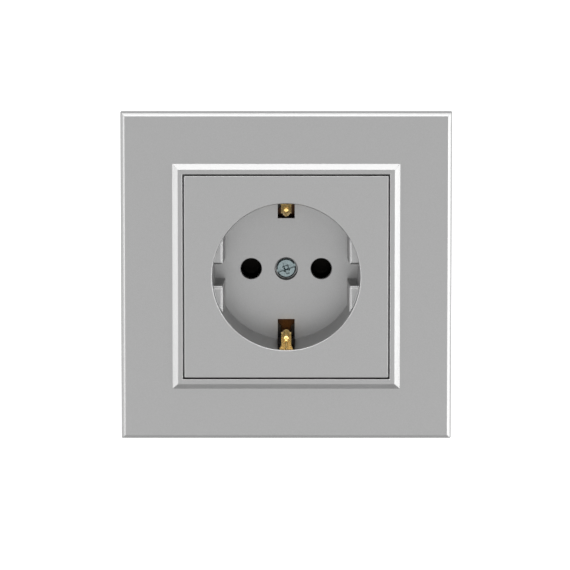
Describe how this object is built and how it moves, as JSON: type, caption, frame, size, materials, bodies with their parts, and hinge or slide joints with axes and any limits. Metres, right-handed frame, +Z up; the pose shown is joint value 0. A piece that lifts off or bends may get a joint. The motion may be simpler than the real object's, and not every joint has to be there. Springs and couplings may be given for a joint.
{
  "type": "wall socket",
  "caption": "Flush wall socket for round two-pin plugs, with side earth clips in a round well, a square silver cover frame and expanding claws for a round wall box.",
  "frame": {"origin": "centre of the wall's face, which is the back of the support plate and of the cover frame", "axes": "+Y into the wall, +X to the right as seen from the room, +Z up"},
  "size_m": [0.089, 0.0383, 0.089],
  "materials": {
    "silver_moulding": "satin silver metallic paint on a moulding",
    "zinc_screw": "zinc plated steel",
    "brass": "bright rolled brass",
    "black_moulding": "black thermoset moulding",
    "spring_steel": "spring steel",
    "plated_sheet": "zinc plated pressed sheet",
    "claw_steel": "yellow passivated sheet steel",
    "rivet_brass": "brass eyelet",
    "clamp_steel": "zinc plated steel"
  },
  "bodies": {
    "socket": {"cover_frame": "silver_moulding", "centre_plate": "silver_moulding", "well_floor": "silver_moulding", "centre_screw": "zinc_screw", "earth_strap": "brass", "base_body": "black_moulding", "support_plate": "plated_sheet", "strap_rivet_upper": "rivet_brass", "strap_rivet_lower": "rivet_brass", "earth_terminal_clamp": "clamp_steel", "earth_terminal_screw": "zinc_screw", "line_contact": "brass", "line_contact_spring": "spring_steel", "line_terminal_clamp": "clamp_steel", "line_terminal_screw": "zinc_screw", "neutral_contact": "brass", "neutral_contact_spring": "spring_steel", "neutral_terminal_clamp": "clamp_steel", "neutral_terminal_screw": "zinc_screw", "left_claw_screw": "zinc_screw", "right_claw_screw": "zinc_screw", "plate_screw_upper_left": "zinc_screw", "plate_screw_lower_left": "zinc_screw", "plate_screw_upper_right": "zinc_screw", "plate_screw_lower_right": "zinc_screw"},
    "left_claw": {"left_claw": "claw_steel"},
    "right_claw": {"right_claw": "claw_steel"}
  },
  "joints": [
    {"name": "left_claw_swing", "type": "hinge", "parent": "socket", "child": "left_claw", "pos_m": [-0.0234, 0.0018, 0], "axis": [0, 0, 1], "range_deg": [0, 18]},
    {"name": "right_claw_swing", "type": "hinge", "parent": "socket", "child": "right_claw", "pos_m": [0.0234, 0.0018, 0], "axis": [0, 0, -1], "range_deg": [0, 18]}
  ]
}
